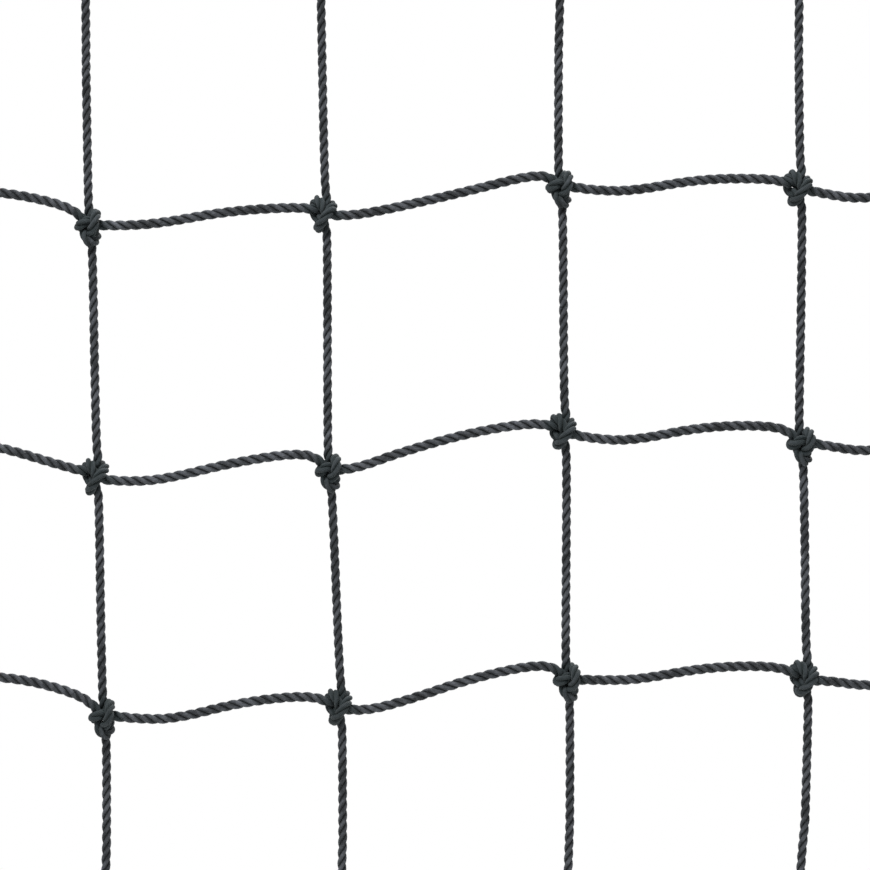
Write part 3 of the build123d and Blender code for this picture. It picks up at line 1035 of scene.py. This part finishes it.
def finished_winding(weave, name, body, *nodes):
    piece = weave.finish(name, waxed)
    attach(piece, body)
    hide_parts(*nodes)
    print(f"{name}: {len(piece.data.polygons)} faces")


# %% Whippings and seizings in their places
WHIPPING_THREAD = 1.6 * MM
SEIZING_THREAD = 1.8 * MM
WHIPPING_MIDDLE = WHIPPING_START + WHIPPING_LENGTH / 2
TWINE_PAIR = (WHIPPING_LENGTH, LAY_SIDE, TWINE / 2 + TOUCH / 2, WHIPPING_THREAD)

for row in range(1, ROWS + 1):
    weave = Weave()
    for x, z in ((-HALF_WIDTH + WHIPPING_MIDDLE, left_loop_height(row)),
                 (HALF_WIDTH - WHIPPING_MIDDLE, right_loop_height(row))):
        winding(weave, (x, 0, z), (1, 0, 0), (0, 1, 0), *TWINE_PAIR)
    finished_winding(weave, f"wound_whippings_row_{row}", BANDS[row], f"whippings_row_{row}")

for place, rope_z, row, downward in (("head", 0.0, 0, 1), ("foot", FOOT_Z, ROWS, -1)):
    weave = Weave()
    for column in range(1, COLUMNS + 1):
        middle = (tied_at(column, row), 0.0, rope_z - downward * WHIPPING_MIDDLE)
        winding(weave, middle, (0, 0, 1), (0, 1, 0), *TWINE_PAIR)
    finished_winding(weave, f"wound_whippings_{place}", f"{place}_band", f"whippings_{place}")

for side, up in ((-1, 1), (1, 1), (-1, -1), (1, -1)):
    corner, out, left = eye_frame(side, up)
    name = f"{'top' if up > 0 else 'bottom'}_{'left' if side < 0 else 'right'}"
    weave = Weave()
    winding(weave, corner + out * (NECK_START + NECK_LENGTH / 2), out, left, SEIZING_LENGTH,
            NECK_SIDE, ROPE / 2, SEIZING_THREAD)
    finished_winding(weave, f"wound_seizing_{name}", "head_band" if up > 0 else "foot_band",
                     f"seizing_{name}")

# %% [markdown]
# ## Floor, light and camera
#
# The net hangs over a plain pale floor. White surroundings give the soft, even light of an open, bright
# place: the camera sees them as plain white, and what they cast on the net is dimmer. One large lamp
# from above and to the left picks out the strands, and a weaker one lights the back.

# %% Floor
FLOOR_DROP = 0.25
FLOOR_RADIUS = 1.45
bpy.ops.object.select_all(action="DESELECT")
bpy.ops.mesh.primitive_circle_add(
    vertices=96, radius=FLOOR_RADIUS, fill_type="NGON", location=(0, 0, cad_low[2] - FLOOR_DROP))
floor = bpy.context.object
floor.name = "floor"
bpy.ops.object.transform_apply(location=True, rotation=True, scale=True)
floor_paint, tree = new_material("pale_floor")
grain = add_node(tree, "ShaderNodeTexNoise", {"Scale": 30.0, "Detail": 2.0})
tone = ramp(tree, grain.outputs["Fac"], [(0.3, linear("#ECECEA")), (0.7, linear("#F2F2F0"))])
paint = add_node(tree, "ShaderNodeBsdfPrincipled", {"Base Color": tone, "Roughness": 0.8})
add_node(tree, "ShaderNodeOutputMaterial", {"Surface": paint.outputs["BSDF"]})
floor.data.materials.append(floor_paint)
print(f"floor {FLOOR_DROP} m below the net")

# %% White surroundings
SKY_LIGHT = 0.6
world = bpy.data.worlds.new("white_surroundings")
world.use_nodes = True
world.node_tree.nodes["Background"].inputs["Color"].default_value = (1.0, 1.0, 1.0, 1.0)
rays = add_node(world.node_tree, "ShaderNodeLightPath").outputs["Is Camera Ray"]
seen = add_node(world.node_tree, "ShaderNodeMapRange", {
    "Value": rays, "To Min": SKY_LIGHT, "To Max": 1.0})
world.node_tree.links.new(
    seen.outputs["Result"], world.node_tree.nodes["Background"].inputs["Strength"])
bpy.context.scene.world = world
bpy.context.scene.view_settings.view_transform = "Standard"
print("the surroundings light the net at", SKY_LIGHT)

# %% Lamps
NET_MIDDLE = (0, 0, -0.5)


def lamp(name, place, aim, size, power):
    bpy.ops.object.light_add(type="AREA", location=place)
    light = bpy.context.object
    light.name = name
    light.data.size = size
    light.data.energy = power
    way = Vector(aim) - Vector(place)
    light.rotation_euler = way.to_track_quat("-Z", "Y").to_euler()


lamp("key", (-0.8, -1.8, 2.2), NET_MIDDLE, size=1.2, power=130)
lamp("back", (0.9, 1.9, 1.4), NET_MIDDLE, size=1.6, power=60)
print("lamps set")

# %% [markdown]
# The camera looks straight at the middle of the net, close enough that the border lies outside its view.
# It is tipped sideways by about a degree.

# %% Camera
VIEW_WIDTH = 0.884
FOCAL = 85.0
SENSOR = 36.0
VIEW_CENTRE = Vector((-12.5 * MM, 0.0, -509 * MM))
ROLL = radians(1.07)

bpy.ops.object.camera_add(
    location=VIEW_CENTRE + Vector((0.0, -VIEW_WIDTH * FOCAL / SENSOR, 0.0)),
    rotation=(pi / 2, ROLL, 0.0))
camera = bpy.context.object
camera.data.lens = FOCAL
camera.data.sensor_width = SENSOR
bpy.context.scene.camera = camera
print(f"camera {VIEW_WIDTH * FOCAL / SENSOR:.2f} m from the net")
